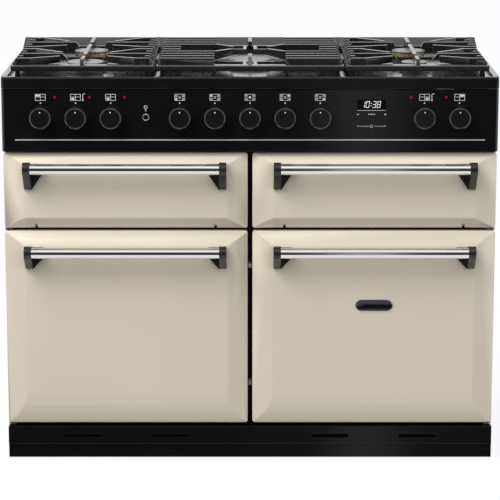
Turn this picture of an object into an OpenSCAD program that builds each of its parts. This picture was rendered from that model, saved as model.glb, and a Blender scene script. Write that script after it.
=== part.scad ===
// Range cooker, 110 cm wide: two ovens, a grill compartment, a small oven and a five-burner gas hob.
// X runs along the front, Y towards the wall and Z up. Depths are measured back from the door faces.

/* [Cooker] */
// Width over the hob and the control panel
cooker_w = 1100; // [1060:5:1200]
// Depth from the door faces to the back panel
cooker_d = 585; // [570:5:620]
// Room behind the back panel for the gas inlet and the terminal cover
rear_fittings = 15; // [12:1:25]
// Thickness of the casing's sheet steel
sheet = 1.5; // [1:0.1:2]
// Radius of the upright corners at the front of the hob
hob_corner_r = 10; // [6:1:14]

/* [Heights] */
// Gap between the floor and the plinth
floor_gap = 4; // [3:1:12]
// Height of the plinth
plinth_h = 73; // [68:1:90]
// Gap between the plinth and the lower doors
plinth_gap = 7.5; // [6.5:0.5:9]
// Height of a lower door
low_door_h = 444.5; // [430:0.5:460]
// Gap between the lower and the upper doors
row_gap = 6.4; // [6:0.2:9]
// Height of an upper door
top_door_h = 170.6; // [165:0.2:180]
// Gap between the upper doors and the control panel
panel_gap = 4; // [3:0.5:6]
// Height of the control panel
panel_h = 139; // [130:1:150]
// Gap between the control panel and the hob
hob_gap = 2; // [1:0.5:4]
// Height of the hob's front edge
hob_lip_h = 25.5; // [22:0.5:34]
// Height of the pan supports over the hob's edge
support_h = 35; // [32:1:40]

/* [Doors] */
// Gap between the left and the right doors
centre_gap = 10.6; // [9:0.2:14]
// How far a door stays inside the cooker's side
side_gap = 1.5; // [1:0.5:4]
// Depth of a door's outer shell
door_t = 30; // [28:1:34]
// Wall of a door's outer shell
door_wall = 1.6; // [1.2:0.1:2]
// How far the bevelled edge falls back
bevel_depth = 13; // [10:0.5:13]
// Width of the bevel at a door's sides
bevel_side = 46; // [40:1:52]
// Width of the bevel at an upper door's top and bottom
bevel_top_door = 25; // [22:1:28]
// Width of the bevel at a lower door's top
bevel_low_top = 35; // [30:1:40]
// Height of the round bevel at a lower door's foot
bevel_low_foot = 77; // [65:1:90]
// Radius of a door's corners
door_corner_r = 6.5; // [4:0.5:9]
// Depth of a door's inner pressing
inner_t = 10; // [8:1:10]

/* [Handles] */
// Length over the two end brackets
handle_len = 449; // [400:1:470]
// Radius of the handle tube
handle_r = 12; // [9:0.5:13]
// Distance of the tube's axis from the door face
handle_out = 33; // [30:1:40]
// Width of an end bracket
bracket_w = 16; // [12:1:20]
// Wall of the bracket's collar round the tube
collar_wall = 3.5; // [2:0.5:5]
// Reach of the bracket's side gusset
gusset_w = 24; // [18:1:30]
// Drop of the tube below an upper door's top edge
top_handle_drop = 30.2; // [28:0.2:36]
// Drop of the tube below a lower door's top edge
low_handle_drop = 42; // [38:0.5:54]
// Drop of the bracket's foot below the tube on the upper doors
top_foot_drop = 50; // [40:1:55]
// Drop of the bracket's foot below the tube on the lower doors
low_foot_drop = 41; // [36:1:50]

/* [Hinges] */
// Radius of the door pins
pin_r = 4; // [3:0.5:5]
// Clearance of a pin or spindle in its bore
pin_clear = 0.05; // [0.02:0.01:0.1]
// Distance of an oven door's pin from the door's outer edge
oven_pin_in = 9; // [8.5:0.5:12]
// Depth of an oven door's pin behind the door face
oven_pin_d = 22; // [21:0.5:23]
// Depth of an upper door's pin behind the door face
flap_pin_d = 16; // [15.5:0.5:17]
// Height of an upper door's pin above the door's lower edge
flap_pin_z = 12; // [11.5:0.5:14]
// Distance of an upper door's hinges from the door's middle
flap_hinge_x = 200; // [150:5:230]

/* [Ovens] */
// Width of every cooking space
cavity_w = 440; // [400:5:450]
// Height of an oven
oven_h = 340; // [300:5:350]
// Height of the grill compartment and the small oven
small_h = 104; // [95:1:106]
// Depth of every cooking space
cavity_d = 400; // [380:5:420]
// Height of an oven's floor above the door's lower edge
oven_floor = 45; // [40:1:50]
// Height of the upper compartments' floor above the door's lower edge
small_floor = 34; // [33:1:36]
// Radius of the cooking space's corners
cavity_r = 14; // [8:1:20]
// Number of shelf levels in an oven
shelf_levels = 5; // [3:1:5]
// Distance between shelf levels
shelf_pitch = 55; // [45:1:55]
// Width of a pressed shelf rib
rib_w = 9; // [7:0.5:12]
// Radius of a fan
fan_r = 74; // [60:1:80]
// Number of fan blades
fan_blades = 12; // [8:1:14]

/* [Controls] */
// Radius of a knob's rim
knob_r = 24.5; // [20:0.5:27]
// Radius of a knob's flat face
knob_face_r = 21.5; // [17:0.5:22]
// How far a knob stands out of the control panel
knob_t = 24; // [18:1:30]
// Gap between a knob and the control panel
knob_gap = 1; // [0.5:0.1:2]
// Height of the knobs above the control panel's lower edge
knob_z = 77.5; // [65:0.5:85]
// Distance between neighbouring knobs
knob_pitch = 77.5; // [65:0.5:80]
// Distance of the outermost knobs from the middle
knob_end_x = 462.5; // [440:0.5:480]
// Radius of a knob's spindle
spindle_r = 3; // [2.5:0.25:4]
// Width of the clock's window
clock_w = 61.5; // [50:0.5:70]
// Height of the clock's window
clock_h = 22.5; // [18:0.5:28]
// Distance of the clock from the middle
clock_x = 268.5; // [255:0.5:280]
// Height of the clock's middle above the control panel's lower edge
clock_z = 105.4; // [95:0.2:112]
// Radius of a push button
button_r = 5; // [4:0.5:6.5]
// Travel of a push button
button_travel = 1.5; // [1:0.1:2]
// Height of the clock's buttons above the control panel's lower edge
button_z = 71; // [60:0.5:80]
// Distance of the light button from the middle
light_x = 230.2; // [215:0.2:245]

/* [Hob] */
// Depth of the hob's well below its edge
well_depth = 6; // [4:0.5:9]
// Width of the raised edge round the well
rim_w = 13; // [10:1:20]
// Height of the rear upstand over the hob's edge
upstand_h = 20; // [15:1:30]
// Depth of the rear upstand
upstand_d = 65; // [50:1:80]
// Distance of the corner burners from the middle
burner_x = 372; // [360:1:380]
// Depth of the front corner burners
burner_front_d = 146; // [140:1:152]
// Depth of the rear corner burners
burner_rear_d = 354; // [350:1:358]
// Depth of the centre burner
wok_d = 253; // [248:1:258]
// Radius of the front left burner's cap
cap_front_left = 42.5; // [28:0.5:44]
// Radius of the rear left burner's cap
cap_rear_left = 40; // [28:0.5:42]
// Radius of the rear right burner's cap
cap_rear_right = 39; // [28:0.5:42]
// Radius of the front right burner's cap
cap_front_right = 30; // [24:0.5:44]
// Radius of the centre burner's cap
cap_wok = 48; // [40:0.5:50]
// Height of a corner burner's cap over the hob's edge
cap_top = 17.5; // [14:0.5:18]
// Height of the centre burner's cap over the hob's edge
wok_top = 10; // [8:0.5:13]
// Thickness of a burner cap
cap_t = 4; // [3:0.5:5]
// Number of flame ports in a burner ring
flame_ports = 24; // [16:2:32]

/* [Pan supports] */
// Distance of a corner support's middle from the cooker's middle
support_x = 372.5; // [360:0.5:380]
// Width of a corner support
corner_w = 314; // [300:1:316]
// Width of the centre support
centre_w = 415; // [400:1:420]
// Depth of the supports' front edge
support_front = 27; // [22:1:32]
// Depth of the supports' rear edge
support_rear = 463; // [455:1:470]
// Depth of the first cross bar
bar_front = 60; // [58:1:64]
// Distance between cross bars
bar_pitch = 42.8; // [42:0.2:43.4]
// Width of a cast bar
bar_w = 9; // [7:0.5:11]
// Height of the bars' undersides over the hob's edge
bar_foot = 16; // [15:0.5:18]
// Width of the supports' outer frame
frame_w = 10; // [8:0.5:13]
// Height of the outer frame's top over the hob's edge
frame_top = 22; // [20:0.5:23]
// Height of the outer frame's underside over the hob's edge
frame_foot = 9; // [6:0.5:11]
// Width of the wok opening in the centre support
wok_gap = 168; // [150:2:190]

/* [Plinth and feet] */
// How far the plinth stays behind the door faces
plinth_back = 4; // [2:1:12]
// Height of the plinth's folded lower strip
plinth_low_h = 33; // [28:1:38]
// Length of a plinth vent
vent_w = 85; // [60:1:100]
// Height of a plinth vent
vent_h = 10; // [6:0.5:14]
// Radius of a levelling foot
foot_r = 22; // [18:1:28]
// Radius of a foot's threaded stem
stem_r = 5; // [4:0.5:6]
// Distance of the feet from the middle
foot_x = 500; // [460:5:505]

/* [Hidden] */
$fn = 48;
eps = 0.01;
seat = 0.2;          // clearance under pieces that lift off or slide
clear = 0.3;         // clearance between pieces that pass each other
cut = 2;             // how far a cutting tool runs past the faces it cuts

// depth stack, back from the door faces
bar_reach = handle_out + handle_r + collar_wall;
front_y = -(cooker_d + rear_fittings + bar_reach) / 2 + bar_reach;
inner_back = door_t + inner_t;
seal_t = 3.6;
frame_d = inner_back + clear + seal_t;
frame_t = 18;
liner_d = frame_d + frame_t;
back_d = cooker_d - sheet;
panel_d = 2;
panel_back = frame_d;

// height stack, up from the floor
plinth_top = floor_gap + plinth_h;
low_z = plinth_top + plinth_gap;
low_top = low_z + low_door_h;
top_z = low_top + row_gap;
top_top = top_z + top_door_h;
panel_z = top_top + panel_gap;
panel_top = panel_z + panel_h;
hob_z = panel_top + hob_gap;
lip_z = hob_z + hob_lip_h;
well_z = lip_z - well_depth;
tray_z = 40;
side_foot = 20;

// widths
half_w = cooker_w / 2;
door_w = half_w - side_gap - centre_gap / 2;
door_x = centre_gap / 2 + door_w / 2;
door_out = half_w - side_gap;
side_in = half_w - 1 - sheet;

// cooking spaces
oven_z = low_z + oven_floor;
small_z = top_z + small_floor;
cavity_back = liner_d + cavity_d;
flange_w = 15;
rib_h = 6;
rib_len = cavity_d - 40;
grill_rib = 45;
cover_t = 28;
fan_z = oven_z + oven_h / 2;

// controls
knob_face_d = panel_d - knob_gap - knob_t;
knob_level = panel_z + knob_z;
control_d = 14;
control_w = 36;
bore_d = 26;
tap_tail_r = 8;
rail_d = liner_d + 20;
rail_r = 9;
inlet_x = 480;
inlet_z = knob_level;
inlet_r = 10.5;
inlet_hole_r = 24;
chain_x = 400;
chain_z = 730;
chain_r = 3;
oven_knob_x = [-knob_end_x, -knob_end_x + knob_pitch, -knob_end_x + 2 * knob_pitch,
               knob_end_x - knob_pitch, knob_end_x];
gas_knob_x = [for (i = [-2:2]) i * knob_pitch];
button_step = clock_w / 2 - 0.5;

// burners: place, cap radius and cap height, in the order of the gas knobs
burners = [
    [-burner_x, burner_front_d, cap_front_left, cap_top],
    [-burner_x, burner_rear_d, cap_rear_left, cap_top],
    [0, wok_d, cap_wok, wok_top],
    [burner_x, burner_rear_d, cap_rear_right, cap_top],
    [burner_x, burner_front_d, cap_front_right, cap_top]
];
cup_in = 8;          // how much smaller than its cap a burner's cup is
cup_depth = 24;
flange_out = 5;
flange_t = 4;
port_w = 2;

// pan supports
support_z = lip_z + support_h;
bar_low = lip_z + bar_foot;
rail_top = lip_z + frame_top;
rail_low = lip_z + frame_foot;
cross_top = lip_z + 14;
cross_low = lip_z + 7;
front_rail_w = 25;
nose = 9;
knuckle_r = bar_w / 2 + 0.4;
stub_len = 21;
kink_x = 118;
tip_x = 57;
finger_low = lip_z + cap_top + 3;
function bar_at(i) = bar_front + bar_pitch * i;

// feet
foot_inset = 40;     // from the tray's front and rear edges to the feet
foot_front_d = liner_d + foot_inset;
foot_rear_d = back_d - foot_inset;
tray_h = 22;
boss_r = 13;
boss_h = 18;
foot_pad_h = 8;
foot_drop = 25;

// ---------------------------------------------------------------- helpers

// Puts what is drawn with depths from the door faces into the part's frame
module stand() { translate([0, front_y, 0]) children(); }

// A front view outline (x, z) pushed from depth d0 back to depth d1
module slab(d0, d1) {
    translate([0, d1, 0]) rotate([90, 0, 0]) linear_extrude(height = d1 - d0) children();
}

// A side view outline (depth, z) run along X
module run_x(x0, x1) {
    translate([x0, 0, 0]) rotate([90, 0, 90]) linear_extrude(height = x1 - x0) children();
}

// A box between two corners
module block(a, b) { translate(a) cube(b - a); }

module rod_x(r, x0, x1) { translate([x0, 0, 0]) rotate([0, 90, 0]) cylinder(r = r, h = x1 - x0); }
module rod_d(r, d0, d1) { translate([0, d0, 0]) rotate([-90, 0, 0]) cylinder(r = r, h = d1 - d0); }
module rod_z(r, z0, z1) { translate([0, 0, z0]) cylinder(r = r, h = z1 - z0); }

// A rectangle with round corners
module rounded(w, h, r) {
    square([w - 2 * r, h], center = true);
    square([w, h - 2 * r], center = true);
    for (x = [-1, 1], y = [-1, 1])
        translate([x * (w / 2 - r), y * (h / 2 - r)]) circle(r = r);
}

// Draws children on the right and, mirrored, on the left
module both_sides() {
    children();
    mirror([1, 0, 0]) children();
}

// ---------------------------------------------------------------- casing

module side_panels() {
    flange = 14;
    color([0.06, 0.06, 0.06]) stand() both_sides() difference() {
        block([side_in - flange, liner_d, side_foot], [side_in + sheet, back_d, hob_z]);
        block([side_in - flange - cut, liner_d + sheet, side_foot - cut],
              [side_in, back_d - sheet, hob_z + cut]);
    }
}

module back_panel() {
    foot = tray_z + 20;
    louvre = [60, 5];
    louvre_x = [220, 300];
    louvre_z = top_z + 24.6;
    louvre_pitch = 14;
    box_x = 380;
    box_z = 190;
    box_w = 130;
    box_h = 100;
    box_wall = 2;
    corner = 8;
    gland_r = 5.5;
    color([0.62, 0.63, 0.64]) stand() {
        difference() {
            block([-side_in - sheet, back_d, foot], [side_in + sheet, cooker_d, hob_z]);
            both_sides() for (x = louvre_x, i = [0:5])
                translate([x, 0, louvre_z + i * louvre_pitch])
                    slab(back_d - cut, cooker_d + cut) rounded(louvre[0], louvre[1], louvre[1] / 2 - 0.1);
            translate([inlet_x, 0, inlet_z]) rod_d(inlet_hole_r, back_d - cut, cooker_d + cut);
            for (x = [-1, 1]) translate([x * chain_x, 0, chain_z])
                rod_d(chain_r, back_d - cut, cooker_d + cut);
        }
        // cover of the mains terminals, with the hole for the cable
        translate([-box_x, 0, box_z]) difference() {
            slab(cooker_d, cooker_d + rear_fittings) rounded(box_w, box_h, corner);
            slab(cooker_d - cut, cooker_d + rear_fittings - box_wall)
                rounded(box_w - 2 * box_wall, box_h - 2 * box_wall, corner - box_wall);
            translate([box_w / 4, cooker_d + rear_fittings / 2, -box_h / 2 - cut])
                rod_z(gland_r, 0, box_wall + 2 * cut);
        }
    }
}

module base_frame() {
    wall = 2;
    front = liner_d + sheet;
    back = back_d - sheet;
    color([0.5, 0.51, 0.52]) stand() difference() {
        union() {
            difference() {
                block([-side_in, front, tray_z], [side_in, back, tray_z + tray_h]);
                block([-side_in + wall, front + wall, tray_z + wall],
                      [side_in - wall, back - wall, tray_z + tray_h + cut]);
            }
            for (x = [-1, 1], d = [foot_front_d, foot_rear_d]) translate([x * foot_x, d, 0])
                rod_z(boss_r, tray_z - boss_h, tray_z + wall);
        }
        for (x = [-1, 1], d = [foot_front_d, foot_rear_d]) translate([x * foot_x, d, 0])
            rod_z(stem_r + pin_clear, tray_z - boss_h - cut, tray_z + wall + cut);
    }
}

module levelling_foot(x, d) {
    color([0.35, 0.35, 0.36]) stand() translate([x, d, 0]) {
        rotate_extrude() polygon([[0, 0], [foot_r, 0], [foot_r, 3], [foot_r - 5, foot_pad_h],
            [0, foot_pad_h]]);
        rod_z(stem_r, foot_pad_h - 1, tray_z + 15);
        rod_z(9, tray_z - boss_h - 8, tray_z - boss_h);
    }
}
module front_left_foot() { levelling_foot(-foot_x, foot_front_d); }
module front_right_foot() { levelling_foot(foot_x, foot_front_d); }
module rear_left_foot() { levelling_foot(-foot_x, foot_rear_d); }
module rear_right_foot() { levelling_foot(foot_x, foot_rear_d); }

// The outline of the four compartments' mouths
module mouths(grow = 0) {
    for (x = [-1, 1]) {
        translate([x * door_x, oven_z + oven_h / 2])
            rounded(cavity_w + 2 * grow, oven_h + 2 * grow, cavity_r);
        translate([x * door_x, small_z + small_h / 2])
            rounded(cavity_w + 2 * grow, small_h + 2 * grow, cavity_r);
    }
}

module front_frame() {
    lip = 2;
    frame_w2 = 2 * (side_in + sheet);
    frame_h = hob_z - tray_z;
    color([0.05, 0.05, 0.05]) stand() difference() {
        translate([0, 0, tray_z + frame_h / 2]) slab(frame_d, liner_d)
            square([frame_w2, frame_h], center = true);
        slab(frame_d - cut, liner_d + cut) mouths();
        // hollow behind the pressed front, between the mouths and the edges
        difference() {
            translate([0, 0, tray_z + frame_h / 2]) slab(frame_d + lip, liner_d + cut)
                square([frame_w2 - 2 * lip, frame_h - 2 * lip], center = true);
            slab(frame_d, liner_d + 2 * cut) mouths(lip);
        }
        for (x = gas_knob_x) translate([x, 0, knob_level])
            rod_d(tap_tail_r + 1, frame_d - cut, liner_d + cut);
    }
}

module plinth() {
    fold_d = 3;
    slot_x = [181, 380];
    color([0.04, 0.04, 0.04]) stand() difference() {
        run_x(-half_w + side_gap, half_w - side_gap) {
            translate([plinth_back, plinth_low_h + 3]) square([sheet, plinth_top - plinth_low_h - 3]);
            translate([plinth_back, plinth_top - sheet]) square([frame_d - plinth_back, sheet]);
            translate([plinth_back, plinth_low_h + 3]) square([fold_d + sheet, sheet]);
            translate([plinth_back + fold_d, floor_gap]) square([sheet, plinth_low_h]);
            translate([plinth_back + fold_d, floor_gap]) square([12, sheet]);
        }
        for (x = slot_x, s = [-1, 1])
            translate([s * x, 0, plinth_top - 22]) slab(plinth_back - cut, plinth_back + sheet + eps)
                rounded(vent_w, vent_h, vent_h / 2 - eps);
    }
}

// ---------------------------------------------------------------- ovens

// A pressed liner with a flange at its mouth and ribs for the shelves
module liner(x, z, h, rib_levels, back_holes) {
    mid = [x, 0, z + h / 2];
    difference() {
        union() {
            translate(mid) slab(liner_d, liner_d + sheet)
                rounded(cavity_w + 2 * flange_w, h + 2 * flange_w, cavity_r + flange_w);
            translate(mid) slab(liner_d, cavity_back + sheet)
                rounded(cavity_w + 2 * sheet, h + 2 * sheet, cavity_r + sheet);
        }
        translate(mid) slab(liner_d - cut, cavity_back) rounded(cavity_w, h, cavity_r);
        for (p = back_holes) translate([x + p[0], 0, z + p[1]])
            rod_d(p[2], cavity_back - cut, cavity_back + cut);
    }
    for (level = rib_levels, s = [-1, 1])
        translate([x + s * cavity_w / 2, liner_d + 20, z + level])
            mirror([s > 0 ? 1 : 0, 0, 0]) translate([0, rib_len, 0]) rotate([90, 0, 0])
                linear_extrude(height = rib_len)
                    polygon([[-sheet / 2, -rib_h], [rib_w, -2], [rib_w, 0], [-sheet / 2, 0]]);
}

module oven_liners() {
    levels = [for (i = [1:shelf_levels]) i * shelf_pitch];
    color([0.16, 0.17, 0.19]) stand() for (x = [-door_x, door_x])
        liner(x, oven_z, oven_h, levels, [[0, oven_h / 2, 8]]);
}

module top_liners() {
    color([0.16, 0.17, 0.19]) stand() for (x = [-door_x, door_x])
        liner(x, small_z, small_h, [grill_rib], []);
}

// A wire shelf that lies on a pair of ribs
module wire_shelf(x, z) {
    wire = 3;
    thin = 1.8;
    w = cavity_w - 2 * sheet - 3;
    d0 = liner_d + 26;
    d1 = cavity_back - cover_t - 8;
    bars = 17;
    translate([x, 0, z + wire + seat]) {
        for (s = [-1, 1]) translate([s * (w / 2 - wire), 0, 0]) rod_d(wire, d0 + 1, d1 - 1);
        for (d = [d0, d1 - 6]) block([-w / 2, d, -wire], [w / 2, d + 6, wire]);
        for (i = [1:bars]) translate([-w / 2 + i * w / (bars + 1), 0, wire - thin - 0.2])
            rod_d(thin, d0 + 1, d1 - 1);
    }
}

module oven_shelves() {
    color([0.75, 0.76, 0.78]) stand() {
        for (x = [-door_x, door_x], level = [1, 3]) wire_shelf(x, oven_z + level * shelf_pitch);
        wire_shelf(door_x, small_z + grill_rib);
    }
}

// The cover of an oven fan inside the oven, and the motor behind the oven's back
module fan_housing(x) {
    cover_w = 2 * fan_r + 76;
    cover_h = 2 * fan_r + 66;
    corner = 20;
    motor_r = 42;
    stud_x = 34;
    slot_in = 42;
    translate([x, 0, fan_z]) {
        difference() {
            slab(cavity_back - cover_t, cavity_back) rounded(cover_w, cover_h, corner);
            slab(cavity_back - cover_t + sheet, cavity_back + cut)
                rounded(cover_w - 2 * sheet, cover_h - 2 * sheet, corner - sheet);
            for (a = [0:20:340]) rotate([0, a, 0])
                translate([0, 0, slot_in]) slab(cavity_back - cover_t - cut, cavity_back - cover_t + 2)
                    rounded(6, 36, 2.9);
            for (s = [-1, 1], i = [-4:4])
                translate([s * (cover_w / 2), cavity_back - cover_t / 2, i * 18])
                    cube([8, 14, 9], center = true);
        }
        difference() {
            union() {
                rod_d(motor_r, cavity_back + sheet + 12, cavity_back + sheet + 60);
                for (a = [45:90:315]) rotate([0, a, 0]) translate([0, 0, stud_x])
                    rod_d(4, cavity_back + sheet, cavity_back + sheet + 14);
            }
            rod_d(pin_r + pin_clear, cavity_back, cavity_back + sheet + 45);
        }
    }
}
module fan_housings() { color([0.3, 0.31, 0.33]) stand() for (x = [-door_x, door_x]) fan_housing(x); }

module fan(x) {
    hub_r = 12;
    blade_t = 1.2;
    disc_d = cavity_back - 9;
    color([0.7, 0.71, 0.73]) stand() translate([x, 0, fan_z]) {
        rod_d(fan_r, disc_d, disc_d + 1.2);
        rod_d(hub_r, disc_d - 12, disc_d + 4);
        rod_d(pin_r, disc_d, cavity_back + sheet + 40);
        for (i = [0:fan_blades - 1]) rotate([0, i * 360 / fan_blades, 0])
            translate([fan_r * 0.45, disc_d - 13, -blade_t / 2]) cube([fan_r * 0.53, 13.5, blade_t]);
    }
}
module left_oven_fan() { fan(-door_x); }
module right_oven_fan() { fan(door_x); }

// Ring elements round the fans, and the loops under the roof of the grill and the small oven
module heating_elements() {
    tube = 3.5;
    ring_r = fan_r + 14;
    loop_z = small_z + small_h - 18;
    loop_pitch = 44;
    loops = 4;
    loop_front = liner_d + 50;
    loop_back = cavity_back - 30;
    color([0.28, 0.27, 0.27]) stand() {
        for (x = [-door_x, door_x]) translate([x, 0, fan_z]) {
            translate([0, cavity_back - 14, 0]) rotate([90, 0, 0]) rotate_extrude()
                translate([ring_r, 0]) circle(r = tube);
            for (s = [-1, 1]) translate([s * 20, 0, sqrt(ring_r * ring_r - 400)])
                rod_d(tube, cavity_back - 14, cavity_back);
        }
        for (x = [-door_x, door_x]) translate([x, 0, loop_z]) {
            for (i = [-loops:loops - 1]) translate([(i + 0.5) * loop_pitch, 0, 0])
                rod_d(tube, loop_front, (i == -loops || i == loops - 1) ? cavity_back : loop_back);
            for (i = [-loops:2:loops - 2]) translate([(i + 1) * loop_pitch, loop_front, 0])
                rotate([0, 0, 180]) rotate_extrude(angle = 180) translate([loop_pitch / 2, 0])
                    circle(r = tube);
            for (i = [-loops + 1:2:loops - 3]) translate([(i + 1) * loop_pitch, loop_back, 0])
                rotate_extrude(angle = 180) translate([loop_pitch / 2, 0]) circle(r = tube);
        }
    }
}

// The grill's enamelled tray, hung by its rim on the ribs, with its wire grid
module grill_pan() {
    w = cavity_w - 2 * sheet - 4;
    tub_w = cavity_w - 2 * rib_w - 6;
    d0 = liner_d + 24;
    d1 = liner_d + 20 + rib_len - 8;
    mid_d = (d0 + d1) / 2;
    z = small_z + grill_rib + seat;
    tub_h = 30;
    color([0.12, 0.13, 0.15]) stand() translate([-door_x, mid_d, 0]) {
        difference() {
            union() {
                translate([0, 0, z]) linear_extrude(height = sheet) rounded(w, d1 - d0, 10);
                translate([0, 0, z - tub_h]) linear_extrude(height = tub_h) rounded(tub_w, d1 - d0 - 16, 12);
            }
            translate([0, 0, z - tub_h + sheet]) linear_extrude(height = tub_h + cut)
                rounded(tub_w - 2 * sheet, d1 - d0 - 16 - 2 * sheet, 11);
        }
        for (i = [-9:9]) translate([i * 20, 0, z - 6]) rotate([90, 0, 0])
            cylinder(r = 2, h = d1 - d0 - 16 - 2 * sheet, center = true);
        for (s = [-1, 1]) translate([0, s * 110, z - 6]) cube([tub_w - 2 * sheet, 6, 3], center = true);
    }
}

module door_seals() {
    seal_w = 8;
    color([0.2, 0.2, 0.2]) stand() difference() {
        slab(frame_d - seal_t, frame_d) mouths(4 + seal_w);
        slab(frame_d - seal_t - cut, frame_d + cut) mouths(4);
    }
}

// ---------------------------------------------------------------- doors

// The bevelled front of a door, drawn from its lower left corner, as three crossing prisms.
// A round foot gives the lower bevel as an arc that runs out into the flat face.
module pillow(w, h, foot, head, side, round_foot, back, inset = 0) {
    fall = bevel_depth;
    front = inset;
    arc_r = (foot * foot + fall * fall) / (2 * fall);
    intersection() {
        translate([inset, 0, inset]) slab(0, back)
            translate([(w - 2 * inset) / 2, (h - 2 * inset) / 2])
                rounded(w - 2 * inset, h - 2 * inset, max(door_corner_r - inset, 1));
        linear_extrude(height = h)
            polygon([[inset, back], [inset, fall + front], [side, front], [w - side, front],
                     [w - inset, fall + front], [w - inset, back]]);
        run_x(0, w) {
            if (round_foot) {
                polygon([[front, foot], [front, h - head], [fall + front, h - inset], [back, h - inset],
                         [back, foot]]);
                intersection() {
                    translate([0, -cut]) square([back, foot + cut]);
                    translate([arc_r + front, foot]) circle(r = arc_r, $fn = 180);
                }
            } else {
                polygon([[fall + front, inset], [front, foot], [front, h - head],
                         [fall + front, h - inset], [back, h - inset], [back, inset]]);
            }
        }
    }
}

// The pressed and enamelled outer shell, open at the back
module door_shell(w, h, foot, head, round_foot) {
    difference() {
        pillow(w, h, foot, head, bevel_side, round_foot, door_t);
        translate([0, eps, 0]) pillow(w, h, foot, head, bevel_side, round_foot, door_t + cut, door_wall);
    }
}

// A side-hung oven door, drawn for the right-hand side, with a bush at each end of its outer edge
module oven_door() {
    bush_r = 7.8;
    bush_len = 22;
    x0 = centre_gap / 2;
    pin_x = door_out - oven_pin_in;
    difference() {
        union() {
            translate([x0, 0, low_z])
                door_shell(door_w, low_door_h, bevel_low_foot, bevel_low_top, true);
            for (z = [low_z, low_top - bush_len]) translate([pin_x, oven_pin_d, 0])
                rod_z(bush_r, z, z + bush_len);
        }
        for (z = [low_z - cut, low_top - bush_len - cut]) translate([pin_x, oven_pin_d, 0])
            rod_z(pin_r + pin_clear, z, z + bush_len + 2 * cut);
    }
}

// The inner pressing that closes a door's back, standing proud where it meets the seal
module door_inner(z, h, foot_in) {
    rim = 1;
    plate = 1.5;
    raised_w = door_w - 56;
    raised_h = h - 2 * foot_in;
    translate([door_x, 0, z + h / 2]) difference() {
        union() {
            slab(door_t, door_t + plate) rounded(door_w - 2 * rim, h - 2 * rim, door_corner_r - rim);
            slab(door_t, inner_back) rounded(raised_w, raised_h, 12);
        }
        slab(door_t - cut, inner_back - plate)
            rounded(raised_w - 2 * plate, raised_h - 2 * plate, 12 - plate);
    }
}

module left_oven_door() { color([0.83, 0.80, 0.72]) stand() mirror([1, 0, 0]) oven_door(); }
module right_oven_door() { color([0.83, 0.80, 0.72]) stand() oven_door(); }
module left_oven_door_inner() {
    color([0.15, 0.15, 0.16]) stand() mirror([1, 0, 0]) door_inner(low_z, low_door_h, 26);
}
module right_oven_door_inner() { color([0.15, 0.15, 0.16]) stand() door_inner(low_z, low_door_h, 26); }

// Hinge positions of the upper doors along X
function flap_hinges() = [door_x - flap_hinge_x, door_x + flap_hinge_x];
arm_t = 4;
arm_r = 8;
lug_t = 8;
arm_slot = arm_t + 2 * clear;

// A drop-down door, drawn for the right-hand side, with a pair of bored lugs for each hinge arm
module flap_door() {
    pin_z = top_z + flap_pin_z;
    difference() {
        union() {
            translate([centre_gap / 2, 0, top_z])
                door_shell(door_w, top_door_h, bevel_top_door, bevel_top_door, false);
            for (x = flap_hinges(), s = [-1, 1])
                translate([x + s * (arm_slot + lug_t) / 2, 0, 0]) {
                    translate([0, flap_pin_d, pin_z]) rod_x(7, -lug_t / 2, lug_t / 2);
                    block([-lug_t / 2, flap_pin_d - 1, top_z + door_wall / 2],
                          [lug_t / 2, door_t, pin_z + 4]);
                }
        }
        for (x = flap_hinges()) {
            translate([x, flap_pin_d, pin_z])
                rod_x(pin_r + pin_clear, -arm_slot / 2 - lug_t - cut, arm_slot / 2 + lug_t + cut);
            block([x - arm_slot / 2, flap_pin_d - arm_r - clear, top_z - cut],
                  [x + arm_slot / 2, door_t + cut, pin_z + arm_r + clear]);
        }
    }
}

// The inner pressing of a drop-down door, notched round its hinge arms
module flap_inner() {
    difference() {
        door_inner(top_z, top_door_h, 16);
        for (x = flap_hinges())
            block([x - arm_slot / 2 - lug_t - 1, door_t - cut, top_z],
                  [x + arm_slot / 2 + lug_t + 1, inner_back + cut, top_z + flap_pin_z + arm_r + 2]);
    }
}

module grill_door() { color([0.83, 0.80, 0.72]) stand() mirror([1, 0, 0]) flap_door(); }
module small_oven_door() { color([0.83, 0.80, 0.72]) stand() flap_door(); }
module grill_door_inner() { color([0.15, 0.15, 0.16]) stand() mirror([1, 0, 0]) flap_inner(); }
module small_oven_door_inner() { color([0.15, 0.15, 0.16]) stand() flap_inner(); }

// A handle's tube, which ends inside its two brackets
module handle_bar(side, z) {
    end = handle_len / 2 - 3;
    color([0.85, 0.86, 0.88]) stand() translate([side * door_x, -handle_out, z]) difference() {
        rod_x(handle_r, -end, end);
        rod_x(handle_r - sheet, -end - cut, end + cut);
    }
}

// One end bracket: a collar round the tube, a leg down to the door, and a gusset towards the middle
module handle_bracket(z, drop) {
    collar_r = handle_r + collar_wall;
    leg_top = 7;
    outer = handle_len / 2;
    translate([0, -handle_out, z]) difference() {
        union() {
            rod_x(collar_r, outer - bracket_w, outer);
            run_x(outer - bracket_w, outer)
                polygon([[0, collar_r], [handle_out - 8, leg_top + 3], [handle_out, leg_top],
                         [handle_out, -drop], [handle_out - 5, -drop], [-collar_r * 0.82, -collar_r * 0.57],
                         [0, 0]]);
            translate([outer - bracket_w, 0, 0]) slab(handle_out - 10, handle_out)
                polygon([[1, leg_top], [-gusset_w, leg_top], [-gusset_w, -collar_r],
                         [-1, -drop], [1, -drop]]);
        }
        rod_x(handle_r + eps, outer - bracket_w - cut, outer - 3);
    }
}

module handle_brackets(side, z, drop) {
    color([0.08, 0.08, 0.08]) stand() translate([side * door_x, 0, 0])
        both_sides() handle_bracket(z, drop);
}

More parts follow.
